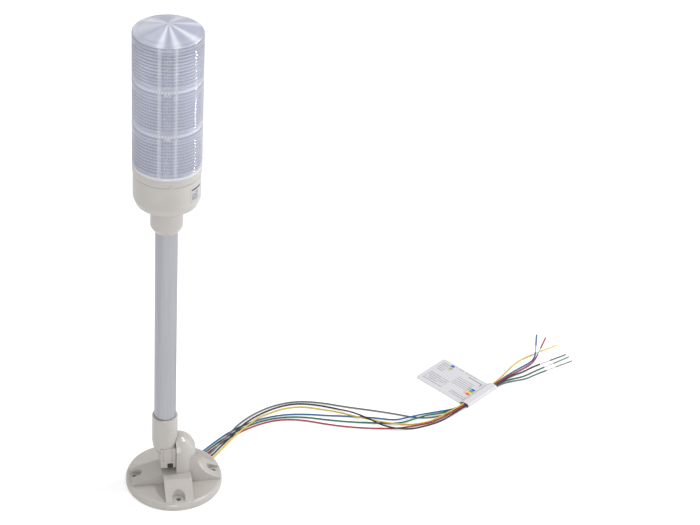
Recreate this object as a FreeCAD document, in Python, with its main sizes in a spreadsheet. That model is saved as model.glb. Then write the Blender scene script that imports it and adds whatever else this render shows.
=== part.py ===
"""Stack light with three tiers on a tube, with a folding foot.  Millimetres, +Z up.

The origin is the centre of the foot's underside.  X is the hinge's axis, and the front,
with the lock button, faces -Y.  The tube stands pole_offset to the left of the origin, so
that the hinge's tongue and ear share the foot evenly.
"""
import FreeCAD, Part
import math
import os

import Sketcher
from FreeCAD import Placement, Rotation, Vector

SIZES = {
    # foot casting
    "flange_radius": 45.0, "flange_height": 7.0, "flange_round": 2.8,
    "flange_roof": 2.6, "flange_rim": 3.6,
    "screw_circle": 37.0, "screw_hole": 2.25, "screw_boss": 5.4, "screw_count": 4,
    "arm_width": 26.0, "arm_reach": 41.0, "arm_tip_top": 9.8, "arm_crown": 5.0, "web_crown": 3.0,
    "arm_root": 13.0, "arm_root_top": 18.2, "arm_floor": 3.0,
    "web_end": 1.08, "web_tip_top": 9.0, "web_root_top": 34.0,
    "web_sweep": 29.0, "web_sweep_across": 45.5, "web_sweep_up": 36.5,
    "slot_width": 9.0, "slot_inner": 30.5,
    "block_centre": 0.8, "block_width": 26.0, "block_top": 19.8, "block_edge": 23.5,
    "block_foot": 41.0, "block_crease": 1.6, "block_pocket": 6.0,
    "ear_face": 0.3, "ear_centre": 4.2, "ear_radius": 15.5,
    "core_wall": 3.4, "core_front": 20.0, "core_height": 15.0,
    "duct_left": 10.5, "duct_right": 1.5, "duct_front": 4.0, "duct_back": 11.4,
    "notch_angle": 40.0, "notch_width": 18.0, "notch_height": 4.0,
    # hinge
    "hinge_height": 39.0, "hinge_play": 0.05, "hinge_shoulder": 3.0, "hinge_thread": 2.5,
    "hinge_grip": 9.0, "hinge_head": 5.0, "hinge_head_height": 3.4, "hinge_hex": 2.0,
    "hinge_hex_depth": 2.0, "hinge_recess": 5.7, "hinge_recess_depth": 4.8,
    # tube holder
    "holder_radius": 11.85, "holder_top": 79.3, "holder_lip": 0.8, "holder_bowl": 50.0,
    "holder_nose": 18.7,
    "socket_floor": 56.5, "socket_play": 0.1, "chamber_radius": 8.2, "chamber_floor": 46.5,
    "tongue_left": 4.8, "tongue_radius": 18.7, "ear_play": 1.4,
    "rib_groove": 0.7, "rib_width": 1.4, "rib_top": 48.0,
    "lead_bore": 2.6, "lead_bore_across": 3.5, "lead_bore_back": 8.2,
    "grub_radius": 2.0, "grub_hex": 1.0, "grub_height": 64.0,
    # lock button
    "button_across": 3.95, "button_width": 4.6, "button_tall": 6.4, "button_height": 26.1,
    "button_depth": 5.0, "button_stand": 0.5, "button_play": 0.3, "button_well": 8.6,
    "spring_radius": 1.5,
    # tube and lower body
    "pole_offset": 9.1, "pole_radius": 10.0, "pole_wall": 1.5,
    "neck_bottom": 285.0, "neck_mouth": 12.0, "neck_chamfer": 4.0, "neck_radius": 14.3,
    "neck_socket": 18.0, "neck_grub_rise": 12.0, "body_floor": 308.0, "body_bowl": 12.8,
    "bowl_inner": 13.2, "body_radius": 29.4, "body_top": 343.5, "body_wall": 2.2,
    "spigot_wall": 2.0, "loom_radius": 2.6, "cable_hole": 5.0,
    "board_thickness": 1.6, "terminal_width": 26.0, "terminal_height": 24.0,
    "terminal_back": 4.6, "loom_top": 320.0, "inner_rise": 8.0,
    # twist ring, cover and light stack
    "seam": 0.3, "ring_radius": 30.0, "ring_top": 351.2,
    "mark_width": 2.0, "mark_stand": 0.5, "mark_height": 3.0,
    "tier_pitch": 42.1, "tier_count": 3, "lens_wall": 2.4,
    "ring_depth": 0.5, "ring_half": 0.6,
    "cap_edge": 1.2, "cap_foot": 25.0, "cap_step": 1.0,
    "cap_rise": 6.5, "cap_wall": 2.2,
    "column_radius": 8.0, "column_end": 34.0, "tier_board": 20.0,
    "led_side": 3.5, "led_tall": 5.0, "led_thick": 1.2, "led_count": 6,
    # leads and wiring tag
    "lead_radius": 0.8, "strand_radius": 0.45, "strand_bare": 13.0, "sleeve_length": 21.0,
    "tag_across": 301.0, "tag_back": 76.0, "tag_turn": 36.87,
    "tag_ply": 0.3, "tag_width": 45.0, "tag_length": 66.0, "tag_corner": 3.0,
    "loop_left": 3.9, "loop_right": 3.4, "loop_high": 4.5, "loop_ease": 0.9, "loop_toe": 8.2,
}

doc = FreeCAD.newDocument("stack_light")
sheet = doc.addObject("Spreadsheet::Sheet", "sizes")
for row, (alias, number) in enumerate(SIZES.items(), start=1):
    sheet.set("A%d" % row, alias)
    sheet.set("B%d" % row, str(number))
    sheet.setAlias("B%d" % row, alias)
doc.recompute()

parts = {}
UP = Vector(0, 0, 1)


def size(alias):
    """A driving dimension, as a plain number."""
    return float(sheet.get(alias))


def bound(expression):
    """An expression whose words are aliases, with the sheet's name put before each."""
    out = ""
    word = ""
    for letter in expression + " ":
        if letter.isalnum() or letter == "_" or letter == ".":
            word += letter
            continue
        out += ("sizes." + word) if word in SIZES else word
        out += letter
        word = ""
    return out.strip()


def tie(feature, prop, expression):
    """Bind one property of a feature to an expression."""
    feature.setExpression(prop, bound(expression))


def new_body(label, x="0", y="0", z="0"):
    """A sub-part: a body whose local origin stands at (x, y, z)."""
    body = doc.addObject("PartDesign::Body", label)
    body.Label = label
    for axis, expression in zip("xyz", (x, y, z)):
        if expression != "0":
            tie(body, "Placement.Base." + axis, expression)
    parts[label] = body
    return body


def new_sketch(body, plane, offset="0", turn="0"):
    """A sketch on one of the body's own origin planes, moved along its normal or turned."""
    sketch = body.newObject("Sketcher::SketchObject", body.Label + "_sketch")
    origin = [item for item in body.Origin.OriginFeatures if item.Role == plane + "_Plane"][0]
    sketch.AttachmentSupport = [(origin, "")]
    sketch.MapMode = "FlatFace"
    if offset != "0":
        tie(sketch, "AttachmentOffset.Base.z", offset)
    if turn != "0":
        sketch.AttachmentOffset = Placement(Vector(), Rotation(UP, 1))
        tie(sketch, "AttachmentOffset.Rotation.Angle", turn)
    return sketch


def pin_point(sketch, geometry, end, x, y):
    """Tie a point of the sketch to expressions for its two coordinates."""
    for kind, expression in (("DistanceX", x), ("DistanceY", y)):
        rule = Sketcher.Constraint(kind, -1, 1, geometry, end, 1.0)
        number = sketch.addConstraint(rule)
        tie(sketch, "Constraints[%d]" % number, expression)


def polygon(sketch, corners):
    """A closed outline of straight sides through the corners."""
    first = sketch.GeometryCount
    count = len(corners)
    guess = [Vector(20 * math.cos(6.2832 * i / count), 20 * math.sin(6.2832 * i / count), 0)
             for i in range(count)]
    for i in range(count):
        sketch.addGeometry(Part.LineSegment(guess[i], guess[(i + 1) % count]), False)
    for i, (x, y) in enumerate(corners):
        before = first + (i - 1) % count
        sketch.addConstraint(Sketcher.Constraint("Coincident", before, 2, first + i, 1))
        pin_point(sketch, first + i, 1, x, y)
    return sketch


def bend(sketch, side, radius, way):
    """Bend a straight side into an arc: way is 1 when it bulges to the side's left."""
    doc.recompute()
    start, stop = sketch.getPoint(side, 1), sketch.getPoint(side, 2)
    chord = stop - start
    left = Vector(-chord.y, chord.x, 0) * (way / chord.Length)
    inner = math.sqrt(size(radius) ** 2 - chord.Length ** 2 / 4)
    middle = (start + stop) / 2
    crown = middle + left * (size(radius) - inner)
    arc = Part.Arc(start, crown, stop)
    sketch.toggleConstruction(side)
    number = sketch.addGeometry(arc, False)
    near_start = (sketch.getPoint(number, 1) - start).Length < 1e-6
    ends = (1, 2) if near_start else (2, 1)
    sketch.addConstraint(Sketcher.Constraint("Coincident", number, ends[0], side, 1))
    sketch.addConstraint(Sketcher.Constraint("Coincident", number, ends[1], side, 2))
    rule = sketch.addConstraint(Sketcher.Constraint("Radius", number, size(radius)))
    tie(sketch, "Constraints[%d]" % rule, radius)
    return sketch


def disc(sketch, radius, x="0", y="0"):
    """A circle about (x, y)."""
    number = sketch.addGeometry(Part.Circle(Vector(), UP, 3), False)
    pin_point(sketch, number, 3, x, y)
    rule = sketch.addConstraint(Sketcher.Constraint("Radius", number, 3.0))
    tie(sketch, "Constraints[%d]" % rule, radius)
    return sketch


def box(sketch, left, right, low, high):
    """A rectangle between two abscissas and two ordinates."""
    return polygon(sketch, [(left, low), (right, low), (right, high), (left, high)])


def revolve(body, sketch, axis="V_Axis"):
    """Turn an outline about one of its sketch's axes."""
    feature = body.newObject("PartDesign::Revolution", "Turned")
    feature.Profile = sketch
    feature.ReferenceAxis = (sketch, [axis])
    feature.Angle = 360.0
    return feature


def pad(body, sketch, length, both=False, back=False):
    """Grow an outline along its normal, half each way, or backwards."""
    feature = body.newObject("PartDesign::Pad", "Pad")
    feature.Profile = sketch
    feature.Midplane = both
    feature.Reversed = back
    tie(feature, "Length", length)
    return feature


def cut(body, sketch, length, both=False, forward=False):
    """Cut an outline away against its normal, half each way, or along its normal."""
    feature = body.newObject("PartDesign::Pocket", "Cut")
    feature.Profile = sketch
    feature.Midplane = both
    feature.Reversed = forward
    tie(feature, "Length", length)
    return feature


def around(body, feature, sketch, count):
    """Repeat a feature round the sketch's normal through the local origin."""
    pattern = body.newObject("PartDesign::PolarPattern", "Round")
    pattern.Originals = [feature]
    pattern.Axis = (sketch, ["N_Axis"])
    pattern.Angle = 360.0
    tie(pattern, "Occurrences", count)
    body.Tip = pattern
    return pattern


def fillet(body, radius, wanted):
    """Round those edges of the solid so far for which wanted(edge) is true."""
    doc.recompute()
    base = body.Tip
    edges = enumerate(base.Shape.Edges, start=1)
    names = ["Edge%d" % number for number, edge in edges if wanted(edge)]
    feature = body.newObject("PartDesign::Fillet", "Fillet")
    feature.Base = (base, names)
    tie(feature, "Radius", radius)
    return feature


def chamfer(body, width, wanted):
    """Cut off those edges of the solid so far for which wanted(edge) is true."""
    doc.recompute()
    base = body.Tip
    edges = enumerate(base.Shape.Edges, start=1)
    names = ["Edge%d" % number for number, edge in edges if wanted(edge)]
    feature = body.newObject("PartDesign::Chamfer", "Chamfer")
    feature.Base = (base, names)
    tie(feature, "Size", width)
    return feature


def arc_corners(x, y, wide, high, steps, start=0):
    """Corners along a quarter of an ellipse about (x, y), from its side up to its crown:
    a few flats, close to the round that they stand for."""
    corners = []
    for step in range(steps + 1):
        angle = math.radians(start + (90 - start) * step / steps)
        corners.append(("%s + %.6f * (%s)" % (x, math.cos(angle), wide),
                        "%s + %.6f * (%s)" % (y, math.sin(angle), high)))
    return corners


def hexagon(x, y, radius):
    """Corners of a regular hexagon about (x, y)."""
    turns = [math.radians(60 * i) for i in range(6)]
    return [("%s + %.6f * %s" % (x, math.cos(turn), radius),
             "%s + %.6f * %s" % (y, math.sin(turn), radius)) for turn in turns]


def on_pole(label):
    """A body whose local Z axis is the tube's axis."""
    return new_body(label, x="-pole_offset")


# ------------------------------------------------------------------------ foot
def make_base_casting():
    """Round flange, two arms, a sloping front block and the hinge's ear, all one casting."""
    body = new_body("base_casting")
    rim = arc_corners("flange_radius - flange_round", "flange_height - flange_round",
                      "flange_round", "flange_round", 2)
    outline = [("0", "0"), ("flange_radius", "0")] + rim + [("0", "flange_height")]
    revolve(body, polygon(new_sketch(body, "XZ"), outline))

    arm = [("-arm_reach", "arm_floor"), ("-arm_root", "arm_floor"),
           ("-arm_root", "arm_root_top"), ("-arm_reach", "arm_tip_top")]
    pad(body, polygon(new_sketch(body, "XZ"), arm), "arm_width", both=True)

    web_reach = "(flange_radius ^ 2 - arm_width ^ 2 / 4) ^ 0.5 - web_end"
    web = [("ear_centre", "arm_floor"), (web_reach, "arm_floor"),
           (web_reach, "web_tip_top"), ("ear_centre + ear_radius", "web_root_top"),
           ("ear_centre", "web_root_top")]
    outline = polygon(new_sketch(body, "XZ"), web)
    bend(outline, 2, "web_sweep", 1)
    pad(body, outline, "arm_width", both=True)

    def shoulder(edge, side):
        where = edge.BoundBox
        half = size("arm_width") / 2
        level = where.YLength < 0.01 and abs(where.YMin - half) < 0.01
        beyond = where.XMin * side > 0 and where.XMax * side > size("arm_root") - 0.01
        return level and beyond and where.ZLength > 5 and where.XLength > 5

    fillet(body, "arm_crown", lambda edge: shoulder(edge, -1))
    chamfer(body, "web_crown", lambda edge: shoulder(edge, 1))

    hub = box(new_sketch(body, "XZ"), "-arm_root", "ear_centre", "arm_floor", "block_top")
    pad(body, hub, "arm_width", both=True)
    block = [("0", "arm_floor"), ("0", "block_top"), ("-block_edge", "block_top"),
             ("-block_foot", "flange_height"), ("-block_foot", "arm_floor")]
    side = polygon(new_sketch(body, "YZ", offset="block_centre"), block)
    pad(body, side, "block_width", both=True)

    def crease(edge):
        where = edge.BoundBox
        return (abs(where.YMin + size("block_edge")) < 0.01 and where.YLength < 0.01
                and where.ZLength < 0.01)
    fillet(body, "block_crease", crease)

    # the ear: an upright round with a domed top, flat on the side of the tongue
    ear = new_sketch(body, "XZ")
    tie(ear, "AttachmentOffset.Base.x", "ear_centre")
    dome = arc_corners("0", "hinge_height", "ear_radius", "ear_radius", 5)
    revolve(body, polygon(ear, [("0", "arm_floor"), ("ear_radius", "arm_floor")] + dome))
    reach = "2 * ear_radius"
    face = box(new_sketch(body, "YZ", offset="ear_face"), "-" + reach, reach,
               "block_top", "hinge_height + " + reach)
    cut(body, face, "flange_radius")

    # underside: thin roof inside the rim, hollow core under the hub and the block
    inner = "flange_radius - flange_rim"
    cut(body, disc(new_sketch(body, "XY"), inner), "flange_height - flange_roof",
        forward=True)
    boss = disc(new_sketch(body, "XY"), "screw_boss", "screw_circle")
    around(body, pad(body, boss, "flange_height - flange_roof"), boss, "screw_count")
    core = box(new_sketch(body, "XY"), "-arm_root + core_wall",
               "block_centre + block_width / 2 - core_wall", "-core_front",
               "arm_width / 2 - core_wall")
    cut(body, core, "core_height", forward=True)

    # screw holes, with a flat seat for each head
    hole = disc(new_sketch(body, "XY"), "screw_hole", "screw_circle")
    around(body, cut(body, hole, "flange_height", forward=True), hole, "screw_count")
    seat = new_sketch(body, "XY", offset="flange_height")
    disc(seat, "block_pocket", "0", "-screw_circle")
    cut(body, seat, "block_top", forward=True)
    for side in ("-", ""):
        end = side + "(slot_inner + slot_width / 2)"
        slot = new_sketch(body, "XY", offset="flange_height")
        box(slot, side + "2 * flange_radius", end, "-slot_width / 2", "slot_width / 2")
        cut(body, slot, "block_top", forward=True)
        slot = disc(new_sketch(body, "XY", offset="flange_height"), "slot_width / 2", end)
        cut(body, slot, "block_top", forward=True)
    mouth = new_sketch(body, "XY", offset="flange_height")
    box(mouth, "-block_pocket", "block_pocket", "-2 * flange_radius", "-screw_circle")
    cut(body, mouth, "block_top", forward=True)

    # leads: a duct through the hub's top and a notch through the rim
    duct = box(new_sketch(body, "XY", offset="flange_height"), "-duct_left", "-duct_right",
               "duct_front", "duct_back")
    cut(body, duct, "block_top", forward=True)
    notch = new_sketch(body, "XY", turn="notch_angle")
    box(notch, "flange_radius - 2 * flange_rim", "2 * flange_radius", "-notch_width / 2",
        "notch_width / 2")
    cut(body, notch, "notch_height", forward=True)

    # blind hole for the hinge screw's thread
    thread = disc(new_sketch(body, "YZ", offset="ear_face"), "hinge_thread", "0",
                  "hinge_height")
    cut(body, thread, "hinge_grip + hinge_play", forward=True)
    return body


def make_hinge():
    """Shoulder screw: its shoulder carries the tongue, and its thread grips the ear."""
    floor = "-pole_offset - tongue_left + hinge_recess_depth - hinge_play"
    top = floor + " - hinge_head_height"
    screw = new_body("hinge_screw", z="hinge_height")
    outline = [(top, "0"), (top, "hinge_head"), (floor, "hinge_head"),
               (floor, "hinge_shoulder"), ("ear_face", "hinge_shoulder"),
               ("ear_face", "hinge_thread"), ("ear_face + hinge_grip", "hinge_thread"),
               ("ear_face + hinge_grip", "0")]
    revolve(screw, polygon(new_sketch(screw, "XZ"), outline), axis="H_Axis")
    socket = new_sketch(screw, "YZ", offset=top)
    cut(screw, polygon(socket, hexagon("0", "0", "hinge_hex")), "hinge_hex_depth",
        forward=True)


# ------------------------------------------------------------- tube and holder
def make_pole_holder():
    """Cast holder: a socket for the tube over a tongue that turns about the hinge."""
    body = on_pole("pole_holder")
    socket = "pole_radius + socket_play"
    bowl = [(x, "2 * holder_bowl - (%s)" % z)
            for x, z in arc_corners("0", "holder_bowl", "holder_radius", "holder_nose", 4)]
    outline = list(reversed(bowl[:-1]))
    outline += [("holder_radius", "holder_top - holder_lip"),
                ("holder_radius - holder_lip / 2", "holder_top"), (socket, "holder_top"),
                (socket, "socket_floor"), ("chamber_radius", "socket_floor"),
                ("chamber_radius", "chamber_floor"), ("0", "chamber_floor"),
                ("0", "holder_bowl - holder_nose")]
    revolve(body, polygon(new_sketch(body, "XZ"), outline))

    foot = "hinge_height - tongue_radius * 0.5"
    tongue = [("-holder_radius", foot), ("holder_radius", foot),
              ("holder_radius", "chamber_floor"), ("-holder_radius", "chamber_floor")]
    side = polygon(new_sketch(body, "YZ", offset="-tongue_left"), tongue)
    pad(body, side, "tongue_left + pole_offset")
    low = [("-holder_radius", "hinge_height - (tongue_radius ^ 2 - holder_radius ^ 2) ^ 0.5"),
           ("holder_radius", "hinge_height - (tongue_radius ^ 2 - holder_radius ^ 2) ^ 0.5"),
           ("holder_radius", foot), ("-holder_radius", foot)]
    side = polygon(new_sketch(body, "YZ", offset="-tongue_left"), low)
    bend(side, 0, "tongue_radius", -1)
    pad(body, side, "tongue_left + pole_offset")

    # the side that faces the ear is cut flat, and hollow round the ear's dome
    clear = "ear_radius + ear_play"
    face = box(new_sketch(body, "YZ", offset="pole_offset"), "-2 * holder_radius",
               "2 * holder_radius", "hinge_height - 2 * tongue_radius", "hinge_height")
    cut(body, face, "pole_offset", forward=True)
    dome = body.newObject("PartDesign::SubtractiveCylinder", "Dome")
    tie(dome, "Radius", clear)
    tie(dome, "Height", "pole_offset + ear_radius")
    dome.Placement = Placement(Vector(), Rotation(Vector(0, 1, 0), 90))
    tie(dome, "Placement.Base.x", "pole_offset")
    tie(dome, "Placement.Base.z", "hinge_height")
    body.Tip = dome

    # hinge bore and the recess for its screw's head
    bore = disc(new_sketch(body, "YZ", offset="-tongue_left"),
                "hinge_shoulder + hinge_play", "0", "hinge_height")
    cut(body, bore, "2 * holder_radius", forward=True)
    recess = disc(new_sketch(body, "YZ", offset="-tongue_left + hinge_recess_depth"),
                  "hinge_recess", "0", "hinge_height")
    cut(body, recess, "2 * holder_radius")

    # bore for the leads, beside the hinge
    lead = disc(new_sketch(body, "XY", offset="chamber_floor"), "lead_bore",
                "lead_bore_across", "lead_bore_back")
    cut(body, lead, "hinge_height")

    # two grooves leave ribs down the tongue's front, with the lock button's well below
    for left in ("-tongue_left + rib_width", "pole_offset - 3 * rib_width"):
        rib = new_sketch(body, "XZ", offset="holder_radius")
        box(rib, left, left + " + rib_width", "button_height + button_tall", "rib_top")
        cut(body, rib, "rib_groove", forward=False)
    well = new_sketch(body, "XZ", offset="holder_radius")
    box(well, "button_across - button_width / 2 - button_play",
        "button_across + button_width / 2 + button_play",
        "button_height - button_tall / 2 - button_play",
        "button_height + button_tall / 2 + button_play")
    cut(body, well, "button_well")

    # tapped hole for the grub screw at the back
    grub = disc(new_sketch(body, "XZ", offset="-holder_radius"), "grub_radius", "0",
                "grub_height")
    cut(body, grub, "holder_radius / 2", forward=True)
    return body


def make_grub(label, outer, height):
    """A grub screw at the back, from the tube's face to just under the outer surface."""
    body = on_pole(label)
    stem = disc(new_sketch(body, "XZ", offset="-" + outer), "grub_radius", "0", height)
    pad(body, stem, outer + " - pole_radius")
    socket = new_sketch(body, "XZ", offset="-" + outer)
    polygon(socket, hexagon("0", height, "grub_hex"))
    cut(body, socket, "grub_hex", forward=True)
    return body


def make_lock():
    """Square lock button in the tongue's front, with its spring behind it."""
    button = on_pole("latch_button")
    front = "holder_radius + button_stand"
    back = "-(%s - button_depth)" % front
    low = "button_height - button_tall / 2"
    reach = "(tongue_radius - button_play)"
    # the lower front edge is cut back, to swing clear of the hub with the tongue
    nose = "-((%s ^ 2 - (hinge_height - button_height + button_tall / 2) ^ 2) ^ 0.5)" % reach
    chin = "hinge_height - (%s ^ 2 - (%s) ^ 2) ^ 0.5" % (reach, front)
    side = new_sketch(button, "YZ", offset="button_across")
    polygon(side, [("-(%s)" % front, "button_height + button_tall / 2"),
                   ("-(%s)" % front, chin), (nose, low), (back, low),
                   (back, "button_height + button_tall / 2")])
    pad(button, side, "button_width", both=True)

    spring = on_pole("latch_spring")
    coil = new_sketch(spring, "XZ", offset="holder_radius - button_well")
    disc(coil, "spring_radius", "button_across", "button_height")
    pad(spring, coil, "button_well + button_stand - button_depth")


def make_pole_and_body():
    """Tube, the lower body with its neck, and what lies inside them."""
    neck_top = "neck_bottom + neck_socket"
    tube = on_pole("pole_tube")
    revolve(tube, box(new_sketch(tube, "XZ"), "pole_radius - pole_wall", "pole_radius",
                      "socket_floor", neck_top))

    body = on_pole("body_housing")
    inner = "body_radius - body_wall"
    spigot = inner + " - spigot_wall"
    inner_floor = "body_floor + inner_rise"
    bowl = [(x, "2 * (body_floor + body_bowl) - (%s)" % z)
            for x, z in arc_corners("bowl_inner", "body_floor + body_bowl",
                                    "body_radius - bowl_inner", "body_bowl", 3)]
    outline = [("pole_radius + socket_play", "neck_bottom"), ("neck_mouth", "neck_bottom"),
               ("neck_radius", "neck_bottom + neck_chamfer"), ("neck_radius", "body_floor")]
    outline += list(reversed(bowl[:-1]))
    outline += [("body_radius", "body_top"), (spigot, "body_top"),
                (spigot, inner_floor), ("cable_hole", inner_floor), ("cable_hole", neck_top),
                ("pole_radius + socket_play", neck_top)]
    revolve(body, polygon(new_sketch(body, "XZ"), outline))
    grub = disc(new_sketch(body, "XZ", offset="-neck_radius"), "grub_radius", "0",
                "neck_bottom + neck_grub_rise")
    cut(body, grub, "neck_radius / 2", forward=True)

    board = on_pole("terminal_board")
    stand = new_sketch(board, "XZ", offset="-terminal_back")
    box(stand, "-terminal_width / 2", "terminal_width / 2", inner_floor,
        inner_floor + " + terminal_height")
    pad(board, stand, "board_thickness")

    loom = on_pole("lead_loom")
    revolve(loom, box(new_sketch(loom, "XZ"), "0", "loom_radius", "socket_floor", "loom_top"))


# ------------------------------------------------------------- light stack
RIM = "(ring_top + tier_count * tier_pitch)"


def make_head():
    """Twist ring, one-piece ribbed cover and the three tiers of boards inside it."""
    ring = on_pole("collar")
    outline = [("0", "body_top + seam"), ("body_radius", "body_top + seam"),
               ("ring_radius", "body_top + seam + mark_height"), ("ring_radius", "ring_top"),
               ("0", "ring_top")]
    revolve(ring, polygon(new_sketch(ring, "XZ"), outline))
    mark = new_sketch(ring, "XZ", offset="ring_radius - 1.5 * mark_stand")
    box(mark, "-mark_width / 2", "mark_width / 2", "body_top + seam",
        "body_top + seam + mark_height")
    pad(ring, mark, "2.5 * mark_stand")

    cover = on_pole("lens_cover")
    wall = "ring_radius - lens_wall"
    outline = [(wall, "ring_top"), ("ring_radius", "ring_top")]
    for tier in range(1, int(size("tier_count"))):
        line = "ring_top + %d * tier_pitch" % tier
        outline += [("ring_radius", line + " - ring_half"),
                    ("ring_radius - ring_depth", line),
                    ("ring_radius", line + " + ring_half")]
    outline += [("ring_radius", RIM + " - cap_edge"),
                ("ring_radius - cap_edge", RIM),
                ("cap_foot", RIM + " + cap_step"),
                ("0", RIM + " + cap_step + cap_rise"),
                ("0", RIM + " + cap_step - cap_wall"),
                (wall, RIM + " + cap_step - cap_wall")]
    revolve(cover, polygon(new_sketch(cover, "XZ"), outline))

    for tier, name in enumerate(("lower", "middle", "upper")):
        if tier == 0:
            low = "ring_top"
        else:
            low = "ring_top + %d * tier_pitch - board_thickness / 2" % tier
        top = low + " + board_thickness"
        board = on_pole("led_board_" + name)
        plate = polygon(new_sketch(board, "XY", offset=low), hexagon("0", "0", "tier_board"))
        pad(board, plate, "board_thickness")

        end = top + " + column_end"
        if tier < 2:
            end = "ring_top + %d * tier_pitch - board_thickness / 2" % (tier + 1)
        column = on_pole("reflector_" + name)
        core = polygon(new_sketch(column, "XY", offset=top), hexagon("0", "0", "column_radius"))
        pad(column, core, "(%s) - (%s)" % (end, top))

        leds = on_pole("leds_" + name)
        leds.AllowCompound = True
        chip = new_sketch(leds, "XZ", offset="column_radius * %.6f" % math.cos(math.pi / 6))
        middle = "((%s) + (%s)) / 2" % (end, top)
        box(chip, "-led_side / 2", "led_side / 2", middle + " - led_tall / 2",
            middle + " + led_tall / 2")
        grown = pad(leds, chip, "led_thick")
        pattern = around(leds, grown, chip, "led_count")
        upright = [item for item in leds.Origin.OriginFeatures if item.Role == "Z_Axis"]
        pattern.Axis = (upright[0], [""])


# ------------------------------------------------------------- leads and tag
FLOOR = 0.8
LOW, HIGH = 1.3, 3.05
OVER, OVER_TWO = 2.55, 4.3


def tag_point(along, across, height):
    """A point given along and across the wiring tag's folded edge."""
    turn = math.radians(size("tag_turn"))
    x = size("tag_across") + math.cos(turn) * along - math.sin(turn) * across
    y = size("tag_back") + math.sin(turn) * along + math.cos(turn) * across
    return (x, y, height)


ROUTES = {
    "blue": [
        (21.5, 27.2, FLOOR), (34, 38.3, FLOOR), (46, 49.8, FLOOR), (60, 61.5, FLOOR),
        (78, 72.5, FLOOR), (99, 80.5, FLOOR), (120, 83.5, FLOOR), (141, 81.5, FLOOR),
        (163, 76.5, FLOOR), (187, 72.5, FLOOR), (209, 67.5, FLOOR), (226, 62, FLOOR),
        (238, 62.5, OVER), (251, 65.5, OVER), (268, 70, FLOOR), tag_point(-8, 1.85, LOW),
        tag_point(28, 2.75, LOW), tag_point(56, 1.85, LOW), (357, 121.6, FLOOR),
        (374, 132.5, FLOOR), (385, 138.5, FLOOR + 0.5), (391.5, 145, 2.86), (394, 153, 2.45)
    ],
    "green": [
        (22.9, 25.6, FLOOR), (35.5, 36.2, FLOOR), (48, 48, FLOOR), (61.5, 58.5, FLOOR),
        (79, 69.5, FLOOR), (100, 77.5, FLOOR), (120, 79.5, FLOOR), (139, 77, FLOOR),
        (159, 70.5, FLOOR), (181, 64.5, FLOOR), (205, 60, FLOOR), (230, 56.5, FLOOR),
        (245, 59.5, OVER), (258, 64, OVER), (272, 67.3, FLOOR), tag_point(-6, 0, LOW),
        tag_point(28, 0.9, LOW), tag_point(57, -0.3, LOW), (361, 114.2, FLOOR),
        (373, 117, FLOOR), (386, 124.3, FLOOR), (397, 129.5, FLOOR)
    ],
    "red": [
        (24.5, 23.7, FLOOR), (37, 34, FLOOR), (49, 45, FLOOR), (63, 56, FLOOR), (80, 66, FLOOR),
        (100, 74, FLOOR), (119, 76, FLOOR), (138, 72, FLOOR), (158, 63.5, FLOOR),
        (180, 56.5, FLOOR), (204, 51.5, FLOOR), (226, 49, FLOOR), (247, 51.5, FLOOR),
        (264, 54.8, FLOOR), (282, 62.8, HIGH), tag_point(-4, 0, HIGH), tag_point(28, 0.9, HIGH),
        tag_point(57, 0.2, HIGH), (358, 119.2, FLOOR + 0.3), (375, 129.5, FLOOR),
        (384, 134.8, FLOOR + 0.5), (391, 141.5, 2.83), (395.5, 149.5, 2.4)
    ],
    "grey": [
        (26.4, 21.4, FLOOR), (38, 31, FLOOR + 0.3), (47, 41.3, OVER), (56.7, 52.5, OVER),
        (68, 67.5, OVER), (79, 80, FLOOR), (94, 90.8, FLOOR), (113, 99.5, FLOOR),
        (135, 103, FLOOR), (158, 98, FLOOR), (182, 88.2, FLOOR), (206, 80.2, FLOOR),
        (228, 72, FLOOR), (247, 63.5, FLOOR), (265, 61.3, FLOOR), tag_point(-8, -1.85, LOW),
        tag_point(28, -0.95, LOW), tag_point(54, -1.95, LOW), (360.5, 110.5, FLOOR),
        (374, 112.5, FLOOR), (386, 119, FLOOR), (398, 124, FLOOR)
    ],
    "black": [
        (28.1, 19.3, FLOOR), (40, 29, FLOOR + 0.3), (49.5, 39.3, OVER), (59.3, 50.5, OVER),
        (69, 63, OVER), (81, 75, OVER), (96, 87.5, FLOOR), (115, 96.3, FLOOR),
        (134, 99.5, FLOOR), (155, 94.5, FLOOR), (174, 85.5, FLOOR), (187, 74.5, OVER_TWO),
        (200, 63, OVER_TWO), (211, 54, OVER), (223, 47.5, OVER), (239, 46.3, FLOOR),
        (256, 50, FLOOR), (271, 55, FLOOR), (286, 63.5, 2.4), tag_point(-3, -1.85, HIGH),
        tag_point(28, -0.95, HIGH), tag_point(56, -1.6, HIGH), (359.5, 117, OVER),
        (374, 124.3, FLOOR), (384.5, 131, FLOOR), (394, 135, FLOOR)
    ],
    "yellow": [
        (30, 17.1, FLOOR), (42, 26.8, FLOOR + 0.3), (51.8, 37.5, OVER), (61, 49, OVER),
        (71.5, 60.5, OVER), (92, 79.5, OVER), (104, 86.8, FLOOR), (119, 92.8, FLOOR),
        (137, 94.2, FLOOR), (156, 88, FLOOR), (176, 77, OVER), (197, 65.5, OVER),
        (218, 56.5, OVER), (237, 53.3, FLOOR), (252, 54.5, FLOOR), (265, 57.7, FLOOR + 0.2),
        (280, 65, HIGH), tag_point(-3, 1.85, HIGH), tag_point(28, 2.75, HIGH),
        tag_point(54, 2.3, HIGH), (355, 124.8, FLOOR + 0.3), (367, 137.7, FLOOR),
        (379, 146.5, FLOOR), (390, 151.5, FLOOR)
    ],
}


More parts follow.
